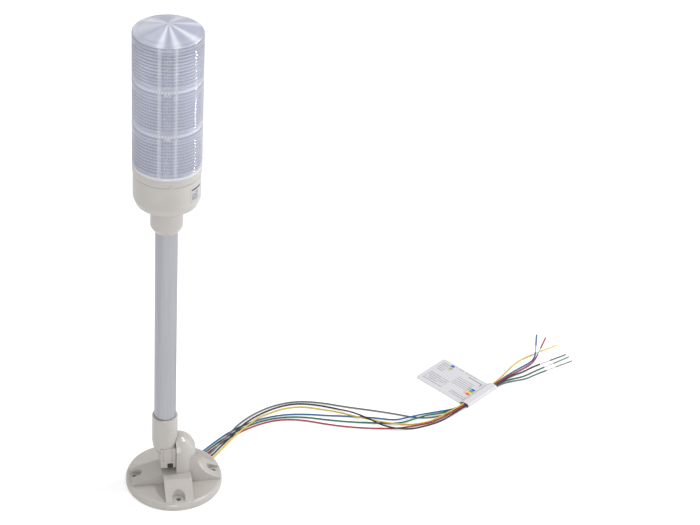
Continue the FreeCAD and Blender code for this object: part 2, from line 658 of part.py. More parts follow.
def lead_path(label, points):
    """Straight runs joined by tangent arcs, each as large as its two runs allow."""
    points = [Vector(*point) for point in points]
    edges = []
    radii = []
    last = points[0]
    for before, corner, after in zip(points, points[1:], points[2:]):
        back, ahead = (before - corner), (after - corner)
        tangent = 0.45 * min(back.Length, ahead.Length)
        turn = math.pi - back.getAngle(ahead)
        radii.append(tangent / math.tan(turn / 2))
        back.normalize()
        ahead.normalize()
        start, stop = corner + back * tangent, corner + ahead * tangent
        half = (back + ahead).normalize()
        sag = radii[-1] * (1 / math.cos(turn / 2) - 1)
        crown = corner + half * sag
        edges.append(Part.LineSegment(last, start).toShape())
        edges.append(Part.Arc(start, crown, stop).toShape())
        last = stop
    edges.append(Part.LineSegment(last, points[-1]).toShape())
    length = sum(edge.Length for edge in edges)
    print("%s: length %.1f, least radius %.1f" % (label, length, min(radii)))
    return Part.Wire(edges), length, points


def own_shape(label, shape):
    """A sub-part whose shape is made directly."""
    feature = doc.addObject("Part::Feature", label)
    feature.Label = label
    feature.Shape = shape
    feature.Placement = Placement()
    parts[label] = feature
    return feature


def prism_face(radius, centre, way):
    """A four-sided section across a direction, a corner on top: a lead's plain stand-in."""
    side = Vector(-way.y, way.x, 0).normalize()
    lift = way.cross(side).normalize()
    corners = [centre + side * (radius * math.sin(math.pi / 2 * i))
               + lift * (radius * math.cos(math.pi / 2 * i)) for i in range(5)]
    return Part.Face(Part.makePolygon(corners))


def make_leads():
    """Six leads from the foot's notch to stripped ends, each with its insulation slug."""
    for colour, points in ROUTES.items():
        path, length, spots = lead_path(colour, points)
        radius = size("lead_radius")
        section = prism_face(radius, spots[0], spots[1] - spots[0])
        tube = path.makePipe(section)
        if tube.ShapeType != "Solid":
            tube = tube.Solids[0]
        wanted = section.Area * length
        if abs(tube.Volume / wanted - 1) > 0.005:
            raise ValueError("%s: volume %.1f for %.1f" % (colour, tube.Volume, wanted))
        own_shape("lead_" + colour, tube)
        end = spots[-1]
        way = (spots[-1] - spots[-2]).normalize()
        bare = size("strand_bare")
        strand = prism_face(size("strand_radius"), end, way)
        own_shape("conductor_" + colour, strand.extrude(way * bare))
        slug = prism_face(radius, end + way * bare, way)
        own_shape("sleeve_" + colour, slug.extrude(way * size("sleeve_length")))


def make_tag():
    """Folded wiring tag: two plies glued together, with an eye for the bundle of leads."""
    body = new_body("wire_tag", x="tag_across", y="tag_back")
    body.Placement.Rotation = Rotation(UP, 1)
    tie(body, "Placement.Rotation.Angle", "tag_turn + 90")
    outer = [("tag_length", "0"), ("tag_length", "2 * tag_ply"), ("loop_toe", "2 * tag_ply"),
             ("loop_right", "loop_high"), ("-loop_left + loop_ease", "loop_high"),
             ("-loop_left", "loop_high - loop_ease"), ("-loop_left", "loop_ease"),
             ("-loop_left + loop_ease", "0")]
    eye = [("loop_toe - tag_ply", "tag_ply"), ("loop_right - tag_ply / 2", "loop_high - tag_ply"),
           ("-loop_left + loop_ease + tag_ply / 2", "loop_high - tag_ply"),
           ("-loop_left + tag_ply", "loop_high - loop_ease - tag_ply / 2"),
           ("-loop_left + tag_ply", "loop_ease + tag_ply / 2"),
           ("-loop_left + loop_ease + tag_ply / 2", "tag_ply")]
    side = new_sketch(body, "XZ")
    polygon(side, outer)
    polygon(side, eye)
    pad(body, side, "tag_width")

    def far_corner(edge):
        where = edge.BoundBox
        return abs(where.XMin - size("tag_length")) < 0.01 and where.ZLength > 0.3
    fillet(body, "tag_corner", far_corner)


make_base_casting()
make_hinge()
make_pole_holder()
make_grub("holder_set_screw", "holder_radius", "grub_height")
make_lock()
make_pole_and_body()
make_grub("neck_set_screw", "neck_radius", "neck_bottom + neck_grub_rise")
make_head()
make_leads()
make_tag()
doc.recompute()

for item in doc.Objects:
    if "Invalid" in item.State or "Error" in item.State:
        raise ValueError("%s failed: %s" % (item.Label, item.State))
os.makedirs("parts", exist_ok=True)
for label, item in parts.items():
    if item.Shape.isNull() or not item.Shape.isValid():
        raise ValueError(label + " has no valid shape")
    item.Shape.exportStep("parts/%s.step" % label)
print("%d sub-parts" % len(parts))
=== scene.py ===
"""Looks of the stack light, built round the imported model.  Metres, same frame as the model."""
import math

import bmesh
import bpy
from mathutils import Matrix, Vector


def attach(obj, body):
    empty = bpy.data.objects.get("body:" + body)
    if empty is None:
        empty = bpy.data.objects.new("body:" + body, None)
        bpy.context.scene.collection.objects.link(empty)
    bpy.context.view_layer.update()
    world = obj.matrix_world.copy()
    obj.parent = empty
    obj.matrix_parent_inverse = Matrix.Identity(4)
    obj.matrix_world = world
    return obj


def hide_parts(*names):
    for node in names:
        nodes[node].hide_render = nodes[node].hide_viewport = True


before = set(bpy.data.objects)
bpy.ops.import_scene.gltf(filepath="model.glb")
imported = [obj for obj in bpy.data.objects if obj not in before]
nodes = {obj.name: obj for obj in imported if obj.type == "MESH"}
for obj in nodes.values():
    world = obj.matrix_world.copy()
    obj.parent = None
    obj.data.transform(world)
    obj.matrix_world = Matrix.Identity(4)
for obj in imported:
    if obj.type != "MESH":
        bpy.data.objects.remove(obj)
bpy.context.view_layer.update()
MM = 0.001
FLOOR_GAP = 0.0002    # the floor lies this far under the foot
FLOOR_GLOW = 0.34     # the floor's own light, which only the camera sees
PAINTED_SHADE_RADIUS = 0.0445       # radius of the floor under the foot that is painted dark as shade
SMOOTH_BELOW = math.radians(37)    # faces that meet at less than this are shaded smooth


# ---------------------------------------------------------------- helpers
def new_material(name):
    """A node material with its Principled shader: (material, shader, node maker, linker)."""
    material = bpy.data.materials.new(name)
    material.use_nodes = True
    tree = material.node_tree
    shader = tree.nodes["Principled BSDF"]
    return material, shader, tree.nodes.new, tree.links.new


def axes_of(new, link):
    """X, Y and Z of a point in object space."""
    place = new("ShaderNodeTexCoord")
    apart = new("ShaderNodeSeparateXYZ")
    link(place.outputs["Object"], apart.inputs["Vector"])
    return [apart.outputs[axis] for axis in "XYZ"]


def maths(new, link):
    """Two ways to do sums in a material: math_of(kind, first, second) and, 1 between two
    limits and 0 outside, band(value, low, high)."""
    def math_of(kind, first, second=0.0):
        node = new("ShaderNodeMath")
        node.operation = kind
        for slot, value in zip(node.inputs, (first, second)):
            if isinstance(value, (int, float)):
                slot.default_value = value
            else:
                link(value, slot)
        return node.outputs[0]

    def band(value, low, high):
        return math_of("MULTIPLY", math_of("GREATER_THAN", value, low),
                       math_of("LESS_THAN", value, high))
    return math_of, band


def spread(new, link, factor, low, high, slot):
    """A shader's slot runs from low to high with a factor."""
    reach = new("ShaderNodeMapRange")
    reach.inputs["To Min"].default_value = low
    reach.inputs["To Max"].default_value = high
    link(factor, reach.inputs["Value"])
    link(reach.outputs["Result"], slot)


def ramp_of(new, link, factor, dark, light, low=0.3, high=0.7):
    """A colour ramp over a factor, between two colours."""
    ramp = new("ShaderNodeValToRGB")
    ramp.color_ramp.elements[0].position = low
    ramp.color_ramp.elements[0].color = (*dark, 1)
    ramp.color_ramp.elements[1].position = high
    ramp.color_ramp.elements[1].color = (*light, 1)
    link(factor, ramp.inputs["Fac"])
    return ramp.outputs["Color"]


def noise_of(new, link, scale, detail=3.0, stretch=None):
    """Noise in object space, in cycles per metre, stretched along an axis if asked."""
    place = new("ShaderNodeTexCoord")
    spot = place.outputs["Object"]
    if stretch:
        mapping = new("ShaderNodeMapping")
        mapping.inputs["Scale"].default_value = stretch
        link(spot, mapping.inputs["Vector"])
        spot = mapping.outputs["Vector"]
    noise = new("ShaderNodeTexNoise")
    noise.inputs["Scale"].default_value = scale
    noise.inputs["Detail"].default_value = detail
    link(spot, noise.inputs["Vector"])
    return noise.outputs["Fac"]


def bump_of(new, link, height, shader, distance, strength=1.0):
    """Bump on a shader, from a height and how far it reaches in metres."""
    bump = new("ShaderNodeBump")
    bump.inputs["Distance"].default_value = distance
    bump.inputs["Strength"].default_value = strength
    link(height, bump.inputs["Height"])
    link(bump.outputs["Normal"], shader.inputs["Normal"])


def dress(material, *names):
    """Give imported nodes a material, whatever they had."""
    for name in names:
        nodes[name].data.materials.clear()
        nodes[name].data.materials.append(material)


def link_object(name, data):
    """A new object with this data, linked to the scene."""
    made = bpy.data.objects.new(name, data)
    bpy.context.scene.collection.objects.link(made)
    return made


def smooth_mesh(name, bm):
    """A mesh with all faces smooth, made from a bmesh, which is freed."""
    mesh = bpy.data.meshes.new(name)
    bm.to_mesh(mesh)
    bm.free()
    for face in mesh.polygons:
        face.use_smooth = True
    return mesh


# ---------------------------------------------------------------- camera and stage
def make_camera():
    """The photograph's viewing angle, fitted to the object's own sizes."""
    data = bpy.data.cameras.new("camera")
    data.lens = 107.25
    data.sensor_width = 36.0
    data.clip_end = 20.0
    camera = link_object("camera", data)
    right = Vector((0.98112, -0.18480, 0.05696))
    up = Vector((0.05828, 0.56343, 0.82410))
    back = Vector((-0.18438, -0.80523, 0.56357))
    turn = Matrix((right, up, back)).transposed()
    place = Vector((-0.18801, -1.50034, 1.28719))
    camera.matrix_world = Matrix.Translation(place) @ turn.to_4x4()
    bpy.context.scene.camera = camera


def make_stage():
    """A pale floor, soft studio lamps, and a background that is white to the camera, also
    through clear parts, and a little darker to all else."""
    world = bpy.data.worlds.new("studio")
    bpy.context.scene.world = world
    world.use_nodes = True
    back = world.node_tree.nodes["Background"]
    back.inputs["Color"].default_value = (1, 1, 1, 1)
    new, link = world.node_tree.nodes.new, world.node_tree.links.new
    math_of, _ = maths(new, link)
    path = new("ShaderNodeLightPath")
    seen = math_of("MAXIMUM", path.outputs["Is Camera Ray"], path.outputs["Is Transmission Ray"])
    spread(new, link, seen, 0.62, 1.0, back.inputs["Strength"])

    mesh = bpy.data.meshes.new("floor")
    mesh.from_pydata([(-8, -8, 0), (8, -8, 0), (8, 8, 0), (-8, 8, 0)], [], [(0, 1, 2, 3)])
    floor = link_object("floor", mesh)
    floor.location.z = -FLOOR_GAP
    material, shader, new, link = new_material("floor")
    math_of, _ = maths(new, link)
    shader.inputs["Roughness"].default_value = 0.9
    shader.inputs["Emission Color"].default_value = (1, 1, 1, 1)
    # painted shade: in the hollow under the foot, which its screw holes look into, the floor is
    # painted dark and has no glow
    place = new("ShaderNodeTexCoord")
    reach = new("ShaderNodeVectorMath")
    reach.operation = "LENGTH"
    link(place.outputs["Object"], reach.inputs[0])
    outside_painted_shade = math_of("GREATER_THAN", reach.outputs["Value"], PAINTED_SHADE_RADIUS)
    link(ramp_of(new, link, outside_painted_shade, (0.02, 0.02, 0.02), (0.88, 0.88, 0.88), 0.0, 1.0),
         shader.inputs["Base Color"])
    path = new("ShaderNodeLightPath")
    link(math_of("MULTIPLY", path.outputs["Is Camera Ray"],
                 math_of("MULTIPLY", outside_painted_shade, FLOOR_GLOW)), shader.inputs["Emission Strength"])
    mesh.materials.append(material)

    def lamp(name, place, aim, power, width, tall=None):
        """An area lamp turned to its aim: a disk, or a strip where it is tall."""
        data = bpy.data.lights.new(name, "AREA")
        data.shape = "DISK"
        data.size = width
        if tall:
            data.shape = "RECTANGLE"
            data.size_y = tall
        data.energy = power
        light = link_object(name, data)
        light.location = place
        way = Vector(aim) - Vector(place)
        light.rotation_euler = way.to_track_quat("-Z", "Y").to_euler()

    lamp("soft", (-1.0, -1.8, 2.2), (0.1, 0, 0.2), 8, 1.4)
    lamp("side", (2.14, -0.14, 0.70), (0.0, 0, 0.3), 14, 0.11, 0.8)
    lamp("high", (0.85, 0.1, 1.55), (0.0, 0, 0.1), 9, 0.16)
    lamp("front", (-0.3, -2.3, 0.5), (0.0, 0, 0.2), 10, 1.0)
    lamp("rim", (-0.6, 1.5, 2.6), (0.1, 0, 0.2), 5, 1.2)


make_camera()
make_stage()
bpy.context.scene.view_settings.view_transform = "Standard"


# ---------------------------------------------------------------- leads
FLOOR = 0.8                # height of a lead on the table, in millimetres like the rest
LOW, HIGH = 1.3, 3.05      # the two layers of leads inside the tag
OVER, OVER_TWO = 2.55, 4.3  # a lead that crosses over one lead, or over two
LEAD_RADIUS = 0.0008       # this and the next two in metres
BARE, BUNDLE = 0.013, 0.00045    # bare strands: length and radius of the bundle
TAG_PLACE = Vector((301.0, 76.0, 0.0))
TAG_TURN = math.radians(36.87)


def tag_point(along, across, height):
    """A point given along and across the wiring tag's folded edge."""
    x = TAG_PLACE.x + math.cos(TAG_TURN) * along - math.sin(TAG_TURN) * across
    y = TAG_PLACE.y + math.sin(TAG_TURN) * along + math.cos(TAG_TURN) * across
    return (x, y, height)


ROUTES = {
    "blue": [
        (21.5, 27.2, FLOOR), (34, 38.3, FLOOR), (46, 49.8, FLOOR), (60, 61.5, FLOOR),
        (78, 72.5, FLOOR), (99, 80.5, FLOOR), (120, 83.5, FLOOR), (141, 81.5, FLOOR),
        (163, 76.5, FLOOR), (187, 72.5, FLOOR), (209, 67.5, FLOOR), (226, 62, FLOOR),
        (238, 62.5, OVER), (251, 65.5, OVER), (268, 70, FLOOR), tag_point(-8, 1.85, LOW),
        tag_point(28, 2.75, LOW), tag_point(56, 1.85, LOW), (357, 121.6, FLOOR),
        (374, 132.5, FLOOR), (385, 138.5, FLOOR + 0.5), (391.5, 145, 2.86), (394, 153, 2.45)
    ],
    "green": [
        (22.9, 25.6, FLOOR), (35.5, 36.2, FLOOR), (48, 48, FLOOR), (61.5, 58.5, FLOOR),
        (79, 69.5, FLOOR), (100, 77.5, FLOOR), (120, 79.5, FLOOR), (139, 77, FLOOR),
        (159, 70.5, FLOOR), (181, 64.5, FLOOR), (205, 60, FLOOR), (230, 56.5, FLOOR),
        (245, 59.5, OVER), (258, 64, OVER), (272, 67.3, FLOOR), tag_point(-6, 0, LOW),
        tag_point(28, 0.9, LOW), tag_point(57, -0.3, LOW), (361, 114.2, FLOOR),
        (373, 117, FLOOR), (386, 124.3, FLOOR), (397, 129.5, FLOOR)
    ],
    "red": [
        (24.5, 23.7, FLOOR), (37, 34, FLOOR), (49, 45, FLOOR), (63, 56, FLOOR), (80, 66, FLOOR),
        (100, 74, FLOOR), (119, 76, FLOOR), (138, 72, FLOOR), (158, 63.5, FLOOR),
        (180, 56.5, FLOOR), (204, 51.5, FLOOR), (226, 49, FLOOR), (247, 51.5, FLOOR),
        (264, 54.8, FLOOR), (282, 62.8, HIGH), tag_point(-4, 0, HIGH), tag_point(28, 0.9, HIGH),
        tag_point(57, 0.2, HIGH), (358, 119.2, FLOOR + 0.3), (375, 129.5, FLOOR),
        (384, 134.8, FLOOR + 0.5), (391, 141.5, 2.83), (395.5, 149.5, 2.4)
    ],
    "grey": [
        (26.4, 21.4, FLOOR), (38, 31, FLOOR + 0.3), (47, 41.3, OVER), (56.7, 52.5, OVER),
        (68, 67.5, OVER), (79, 80, FLOOR), (94, 90.8, FLOOR), (113, 99.5, FLOOR),
        (135, 103, FLOOR), (158, 98, FLOOR), (182, 88.2, FLOOR), (206, 80.2, FLOOR),
        (228, 72, FLOOR), (247, 63.5, FLOOR), (265, 61.3, FLOOR), tag_point(-8, -1.85, LOW),
        tag_point(28, -0.95, LOW), tag_point(54, -1.95, LOW), (360.5, 110.5, FLOOR),
        (374, 112.5, FLOOR), (386, 119, FLOOR), (398, 124, FLOOR)
    ],
    "black": [
        (28.1, 19.3, FLOOR), (40, 29, FLOOR + 0.3), (49.5, 39.3, OVER), (59.3, 50.5, OVER),
        (69, 63, OVER), (81, 75, OVER), (96, 87.5, FLOOR), (115, 96.3, FLOOR),
        (134, 99.5, FLOOR), (155, 94.5, FLOOR), (174, 85.5, FLOOR), (187, 74.5, OVER_TWO),
        (200, 63, OVER_TWO), (211, 54, OVER), (223, 47.5, OVER), (239, 46.3, FLOOR),
        (256, 50, FLOOR), (271, 55, FLOOR), (286, 63.5, 2.4), tag_point(-3, -1.85, HIGH),
        tag_point(28, -0.95, HIGH), tag_point(56, -1.6, HIGH), (359.5, 117, OVER),
        (374, 124.3, FLOOR), (384.5, 131, FLOOR), (394, 135, FLOOR)
    ],
    "yellow": [
        (30, 17.1, FLOOR), (42, 26.8, FLOOR + 0.3), (51.8, 37.5, OVER), (61, 49, OVER),
        (71.5, 60.5, OVER), (92, 79.5, OVER), (104, 86.8, FLOOR), (119, 92.8, FLOOR),
        (137, 94.2, FLOOR), (156, 88, FLOOR), (176, 77, OVER), (197, 65.5, OVER),
        (218, 56.5, OVER), (237, 53.3, FLOOR), (252, 54.5, FLOOR), (265, 57.7, FLOOR + 0.2),
        (280, 65, HIGH), tag_point(-3, 1.85, HIGH), tag_point(28, 2.75, HIGH),
        tag_point(54, 2.3, HIGH), (355, 124.8, FLOOR + 0.3), (367, 137.7, FLOOR),
        (379, 146.5, FLOOR), (390, 151.5, FLOOR)
    ],
}


def wire_material(name, colour):
    """Smooth vinyl insulation: slight sheen, faint print-free mottling and fine bump."""
    material, shader, new, link = new_material("vinyl_" + name)
    mottle = noise_of(new, link, 900, 2)
    link(ramp_of(new, link, mottle, [c * 0.85 for c in colour],
                 [min(1, c * 1.12) for c in colour], 0.0, 1.0), shader.inputs["Base Color"])
    bump_of(new, link, mottle, shader, 0.0002, 0.08)
    shader.inputs["Roughness"].default_value = 0.38
    return material


WIRES = {
    "black": (0.008, 0.008, 0.009),
    "grey": (0.13, 0.14, 0.14),
    "yellow": (0.64, 0.47, 0.04),
    "red": (0.34, 0.015, 0.045),
    "blue": (0.006, 0.12, 0.34),
    "green": (0.0, 0.150, 0.085),
}


def strand_material():
    """Tinned copper, a little uneven in tone."""
    material, shader, new, link = new_material("tinned_strands")
    shader.inputs["Metallic"].default_value = 1.0
    link(ramp_of(new, link, noise_of(new, link, 1500, 2), (0.42, 0.39, 0.36),
                 (0.68, 0.65, 0.61), 0.0, 1.0), shader.inputs["Base Color"])
    shader.inputs["Roughness"].default_value = 0.35
    return material


def strand_mesh(name, start, end, radius):
    """Seven fine strands, six of them laid in a slow twist round the middle one."""
    way = end - start
    length = way.length
    way = way.normalized()
    side = way.orthogonal().normalized()
    other = way.cross(side)
    bm = bmesh.new()
    fine = radius / 3.05
    steps, sides, twist = 16, 8, 4.2
    for strand in range(7):
        rings = []
        for step in range(steps + 1):
            t = step / steps
            angle = strand * math.pi / 3 + t * twist
            off = 0 if strand == 6 else 2 * fine
            centre = start + way * (length * t)
            centre += (side * math.cos(angle) + other * math.sin(angle)) * off
            ring = []
            for k in range(sides):
                a = 2 * math.pi * k / sides
                spot = centre + (side * math.cos(a) + other * math.sin(a)) * fine
                ring.append(bm.verts.new(spot))
            rings.append(ring)
        for low, high in zip(rings, rings[1:]):
            for k in range(sides):
                m = (k + 1) % sides
                bm.faces.new((low[k], low[m], high[m], high[k]))
        bm.faces.new(list(reversed(rings[0])))
        bm.faces.new(rings[-1])
    return smooth_mesh(name, bm)


def make_leads():
    """Each lead as a curve, with its bare strands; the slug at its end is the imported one."""
    tinned = strand_material()
    for colour, points in ROUTES.items():
        vinyl = wire_material(colour, WIRES[colour])
        curve = bpy.data.curves.new("flex_" + colour, "CURVE")
        curve.dimensions = "3D"
        spline = curve.splines.new("NURBS")
        spline.points.add(len(points) - 1)
        for spot, (x, y, z) in zip(spline.points, points):
            spot.co = (x * MM, y * MM, z * MM, 1)
        spline.order_u = 3
        spline.use_endpoint_u = True
        curve.resolution_u = 10
        curve.bevel_depth = LEAD_RADIUS
        curve.bevel_resolution = 3
        curve.use_fill_caps = True
        curve.materials.append(vinyl)
        flex = link_object("flex_" + colour, curve)
        end, before = Vector(points[-1]) * MM, Vector(points[-2]) * MM
        way = (end - before).normalized()
        strands = link_object("strands_" + colour, strand_mesh(
            "strands_" + colour, end, end + way * BARE, BUNDLE))
        strands.data.materials.append(tinned)
        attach(flex, "foot")
        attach(strands, "foot")
        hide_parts("lead_" + colour)
        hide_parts("conductor_" + colour)
        dress(vinyl, "sleeve_" + colour)
        [c * MM for c in points[0]]


make_leads()


# ---------------------------------------------------------------- materials
AXIS_X = -9.1              # the mast stands this far from the foot's centre
RINGS, RING_PITCH, RING_DEPTH = 12, 3.0, 0.7    # turned rings of a tier
RING_STEPS = 6             # points along a ring's section
FLUTES, FLUTE_DEPTH = 72, 0.22    # upright flutes inside the cover
TIERS, TIER = 3, 42.1
COVER_FOOT, RIM = 351.2, 477.5    # the cover's lowest edge, and where its cone starts
OUTER, BORE = 30.0, 27.5   # radii of the cover's wall
FRONT, STRIPE_TURN, STRIPE_HALF = 1.69, 0.236, 0.09   # painted highlight stripes on the front wall, in radians
# painted highlight streaks on the cone: turn in degrees, how narrow, how light
CONE_HIGHLIGHTS = ((-110, 140, 0.9), (-82, 140, 0.9), (-40, 90, 0.8), (169, 7, 0.5), (129, 30, 0.7),
             (60, 60, 0.5), (20, 120, 0.6))


def enamel(name, colour, rough, grain, depth):
    """Painted casting or moulded plastic: orange peel, faint tone drift and uneven gloss."""
    material, shader, new, link = new_material(name)
    drift = noise_of(new, link, 45, 4)
    tone = ramp_of(new, link, drift, [c * 0.955 for c in colour], [c * 1.03 for c in colour])
    link(tone, shader.inputs["Base Color"])
    spread(new, link, noise_of(new, link, 320, 2), rough - 0.05, rough + 0.07,
           shader.inputs["Roughness"])
    bump_of(new, link, noise_of(new, link, grain, 2), shader, depth)
    shader.inputs["Coat Weight"].default_value = 0.45
    shader.inputs["Coat Roughness"].default_value = 0.06
    return material


def satin_metal(name, colour, rough, stretch, depth):
    """Drawn or turned metal: fine scratches along one axis."""
    material, shader, new, link = new_material(name)
    shader.inputs["Metallic"].default_value = 1.0
    lines = noise_of(new, link, 900, 3, stretch)
    link(ramp_of(new, link, lines, [c * 0.9 for c in colour], colour),
         shader.inputs["Base Color"])
    spread(new, link, lines, rough - 0.06, rough + 0.08, shader.inputs["Roughness"])
    bump_of(new, link, lines, shader, depth)
    return material


def clear_plastic(name, colour, rough):
    """Clear moulded plastic, blue-grey and a little cloudy, and cloudier in the cone on top,
    where painted highlight streaks run out from the tip; painted highlight stripes on the
    front wall, and painted shade in rows along the rings' grooves."""
    material, shader, new, link = new_material(name)
    math_of, _ = maths(new, link)
    across, forward, height = axes_of(new, link)
    across = math_of("SUBTRACT", across, AXIS_X * MM)
    above = math_of("GREATER_THAN", height, (RIM - 0.6) * MM)
    wall = math_of("SUBTRACT", 1.0, above)
    turn = math_of("ARCTAN2", forward, across)
    radius = math_of("SQRT", math_of("ADD", math_of("MULTIPLY", across, across),
                                     math_of("MULTIPLY", forward, forward)))
    outer = math_of("GREATER_THAN", radius, (OUTER + BORE) / 2 * MM)

    # painted highlight: bright streaks on the cone that run out from the tip
    highlight_streaks = 0.0
    for degrees, narrow, weight in CONE_HIGHLIGHTS:
        lean = math_of("COSINE", math_of("SUBTRACT", turn, math.radians(degrees)))
        ray = math_of("POWER", math_of("MAXIMUM", lean, 0.0), narrow)
        highlight_streaks = math_of("MAXIMUM", highlight_streaks, math_of("MULTIPLY", ray, weight))
    highlight_streaks = math_of("MULTIPLY", highlight_streaks, above)

    # painted highlight: two broad bright stripes on the front wall, which also cloud it a little
    off = math_of("SUBTRACT", math_of("ABSOLUTE", math_of("ADD", turn, FRONT)), STRIPE_TURN)
    highlight_stripe = math_of("SUBTRACT", 1.0, math_of("DIVIDE", math_of("ABSOLUTE", off), STRIPE_HALF))
    highlight_stripe = math_of("MULTIPLY", math_of("MAXIMUM", highlight_stripe, 0.0), wall)

    # share of the way up a tier: painted shade in darker rows along the rings' grooves, dotted
    # by the flutes, with a plain stretch just above the pale line at each tier's foot
    tiers = math_of("DIVIDE", math_of("SUBTRACT", height, COVER_FOOT * MM), TIER * MM)
    share = math_of("FRACT", tiers)
    foot = math_of("LESS_THAN", height, (COVER_FOOT + 2.4) * MM)
    line = math_of("LESS_THAN", share, 1.7 / TIER)
    rings = math_of("MULTIPLY", math_of("GREATER_THAN", share, 1 - RINGS * RING_PITCH / TIER),
                    wall)
    row = math_of("COSINE", math_of("MULTIPLY", share, 2 * math.pi * TIER / RING_PITCH))
    row = math_of("SUBTRACT", 0.5, math_of("MULTIPLY", row, 0.5))
    row = math_of("MULTIPLY", math_of("POWER", row, 1.3), rings)
    flute = math_of("ABSOLUTE", math_of("COSINE", math_of("MULTIPLY", turn, FLUTES / 2)))
    dotted = math_of("ADD", math_of("MULTIPLY", flute, 0.75), 0.25)
    painted_groove_shade = math_of("MULTIPLY", math_of("MULTIPLY", row, dotted), outer)
    line = math_of("MULTIPLY", math_of("MULTIPLY", line, wall), dotted)
    light = math_of("MAXIMUM", math_of("MAXIMUM", highlight_streaks, math_of("MULTIPLY", line, 0.4)),
                    math_of("MAXIMUM", math_of("MULTIPLY", highlight_stripe, 0.75), foot))
    grade = math_of("SUBTRACT", math_of("ADD", 0.5, math_of("MULTIPLY", painted_groove_shade, 0.5)),
                    math_of("MULTIPLY", light, 0.5))
    grade = math_of("ADD", grade, math_of("MULTIPLY", above, 0.36))
    tone = ramp_of(new, link, grade, (0.93, 0.95, 1.0), (0.36, 0.38, 0.50), 0.0, 1.0)
    middle = tone.node.color_ramp.elements.new(0.5)
    middle.color = (*colour, 1)
    link(tone, shader.inputs["Base Color"])
    cloud = math_of("MAXIMUM", math_of("MAXIMUM", above, math_of("MULTIPLY", highlight_stripe, 0.3)),
                    math_of("MAXIMUM", foot, math_of("MULTIPLY", line, 0.6)))
    spread(new, link, cloud, 0.72, 0.30, shader.inputs["Transmission Weight"])
    shader.inputs["IOR"].default_value = 1.45
    spread(new, link, noise_of(new, link, 60, 2), rough * 0.7, rough * 1.4,
           shader.inputs["Roughness"])
    shader.inputs["Coat Weight"].default_value = 0.4
    shader.inputs["Coat Roughness"].default_value = 0.05
    return material


def smooth(*names):
    """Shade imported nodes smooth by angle, which leaves their meshes as they are."""
    for name in names:
        shown = nodes[name]
        for other in bpy.context.selected_objects:
            other.select_set(False)
        shown.select_set(True)
        bpy.context.view_layer.objects.active = shown
        bpy.ops.object.shade_auto_smooth(angle=SMOOTH_BELOW)


def dress_all():
    """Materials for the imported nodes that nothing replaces."""
    paint = enamel("enamel_warm_grey", (0.47, 0.443, 0.418), 0.30, 1300, 0.00004)
    shell = enamel("shell_plastic", (0.51, 0.484, 0.460), 0.34, 2600, 0.00002)
    dress(paint, "base_casting", "pole_holder")
    dress(shell, "body_housing", "collar")
    dress(satin_metal("anodised_tube", (0.50, 0.505, 0.545), 0.36, (1, 1, 0.02), 0.00001),
          "pole_tube")
    steel = satin_metal("zinc_steel", (0.62, 0.62, 0.60), 0.3, (1, 1, 1), 0.00001)
    dress(steel, "hinge_screw", "latch_spring")
    dark = satin_metal("black_oxide", (0.05, 0.05, 0.05), 0.4, (1, 1, 1), 0.00001)
    dress(dark, "holder_set_screw", "neck_set_screw")
    dress(enamel("black_nylon", (0.012, 0.012, 0.012), 0.45, 3000, 0.00003), "latch_button",
          "lead_loom")
    dress(enamel("solder_mask", (0.02, 0.12, 0.06), 0.4, 900, 0.00002), "terminal_board")
    for kind, material in (
            ("led_board_", enamel("white_board", (0.62, 0.64, 0.68), 0.4, 900, 0.00002)),
            ("reflector_", enamel("reflector_grey", (0.50, 0.52, 0.57), 0.3, 900, 0.00002)),
            ("leds_", enamel("led_resin", (0.75, 0.70, 0.45), 0.25, 1800, 0.00002))):
        dress(material, kind + "lower", kind + "middle", kind + "upper")
    smooth("base_casting", "pole_holder", "body_housing", "collar", "pole_tube")


# ---------------------------------------------------------------- clear cover
def spun(name, outline, around, wave):
    """A closed solid of turned outline points (radius, height, kind): wave(kind, angle)
    gives what is added to a point's radius."""
    bm = bmesh.new()
    rings = []
    for radius, height, kind in outline:
        if radius == 0:
            rings.append([bm.verts.new((AXIS_X * MM, 0, height * MM))])
            continue
        ring = []
        for k in range(around):
            angle = 2 * math.pi * k / around
            r = radius + wave(kind, angle)
            ring.append(bm.verts.new(((AXIS_X + r * math.cos(angle)) * MM,
                                      r * math.sin(angle) * MM, height * MM)))
        rings.append(ring)
    for low, high in zip(rings, rings[1:] + rings[:1]):
        if len(low) == 1 and len(high) == 1:
            continue
        for k in range(around):
            m = (k + 1) % around
            if len(low) == 1:
                bm.faces.new((low[0], high[m], high[k]))
            elif len(high) == 1:
                bm.faces.new((low[k], low[m], high[0]))
            else:
                bm.faces.new((low[k], low[m], high[m], high[k]))
    bmesh.ops.recalc_face_normals(bm, faces=bm.faces[:])
    return link_object(name, smooth_mesh(name, bm))


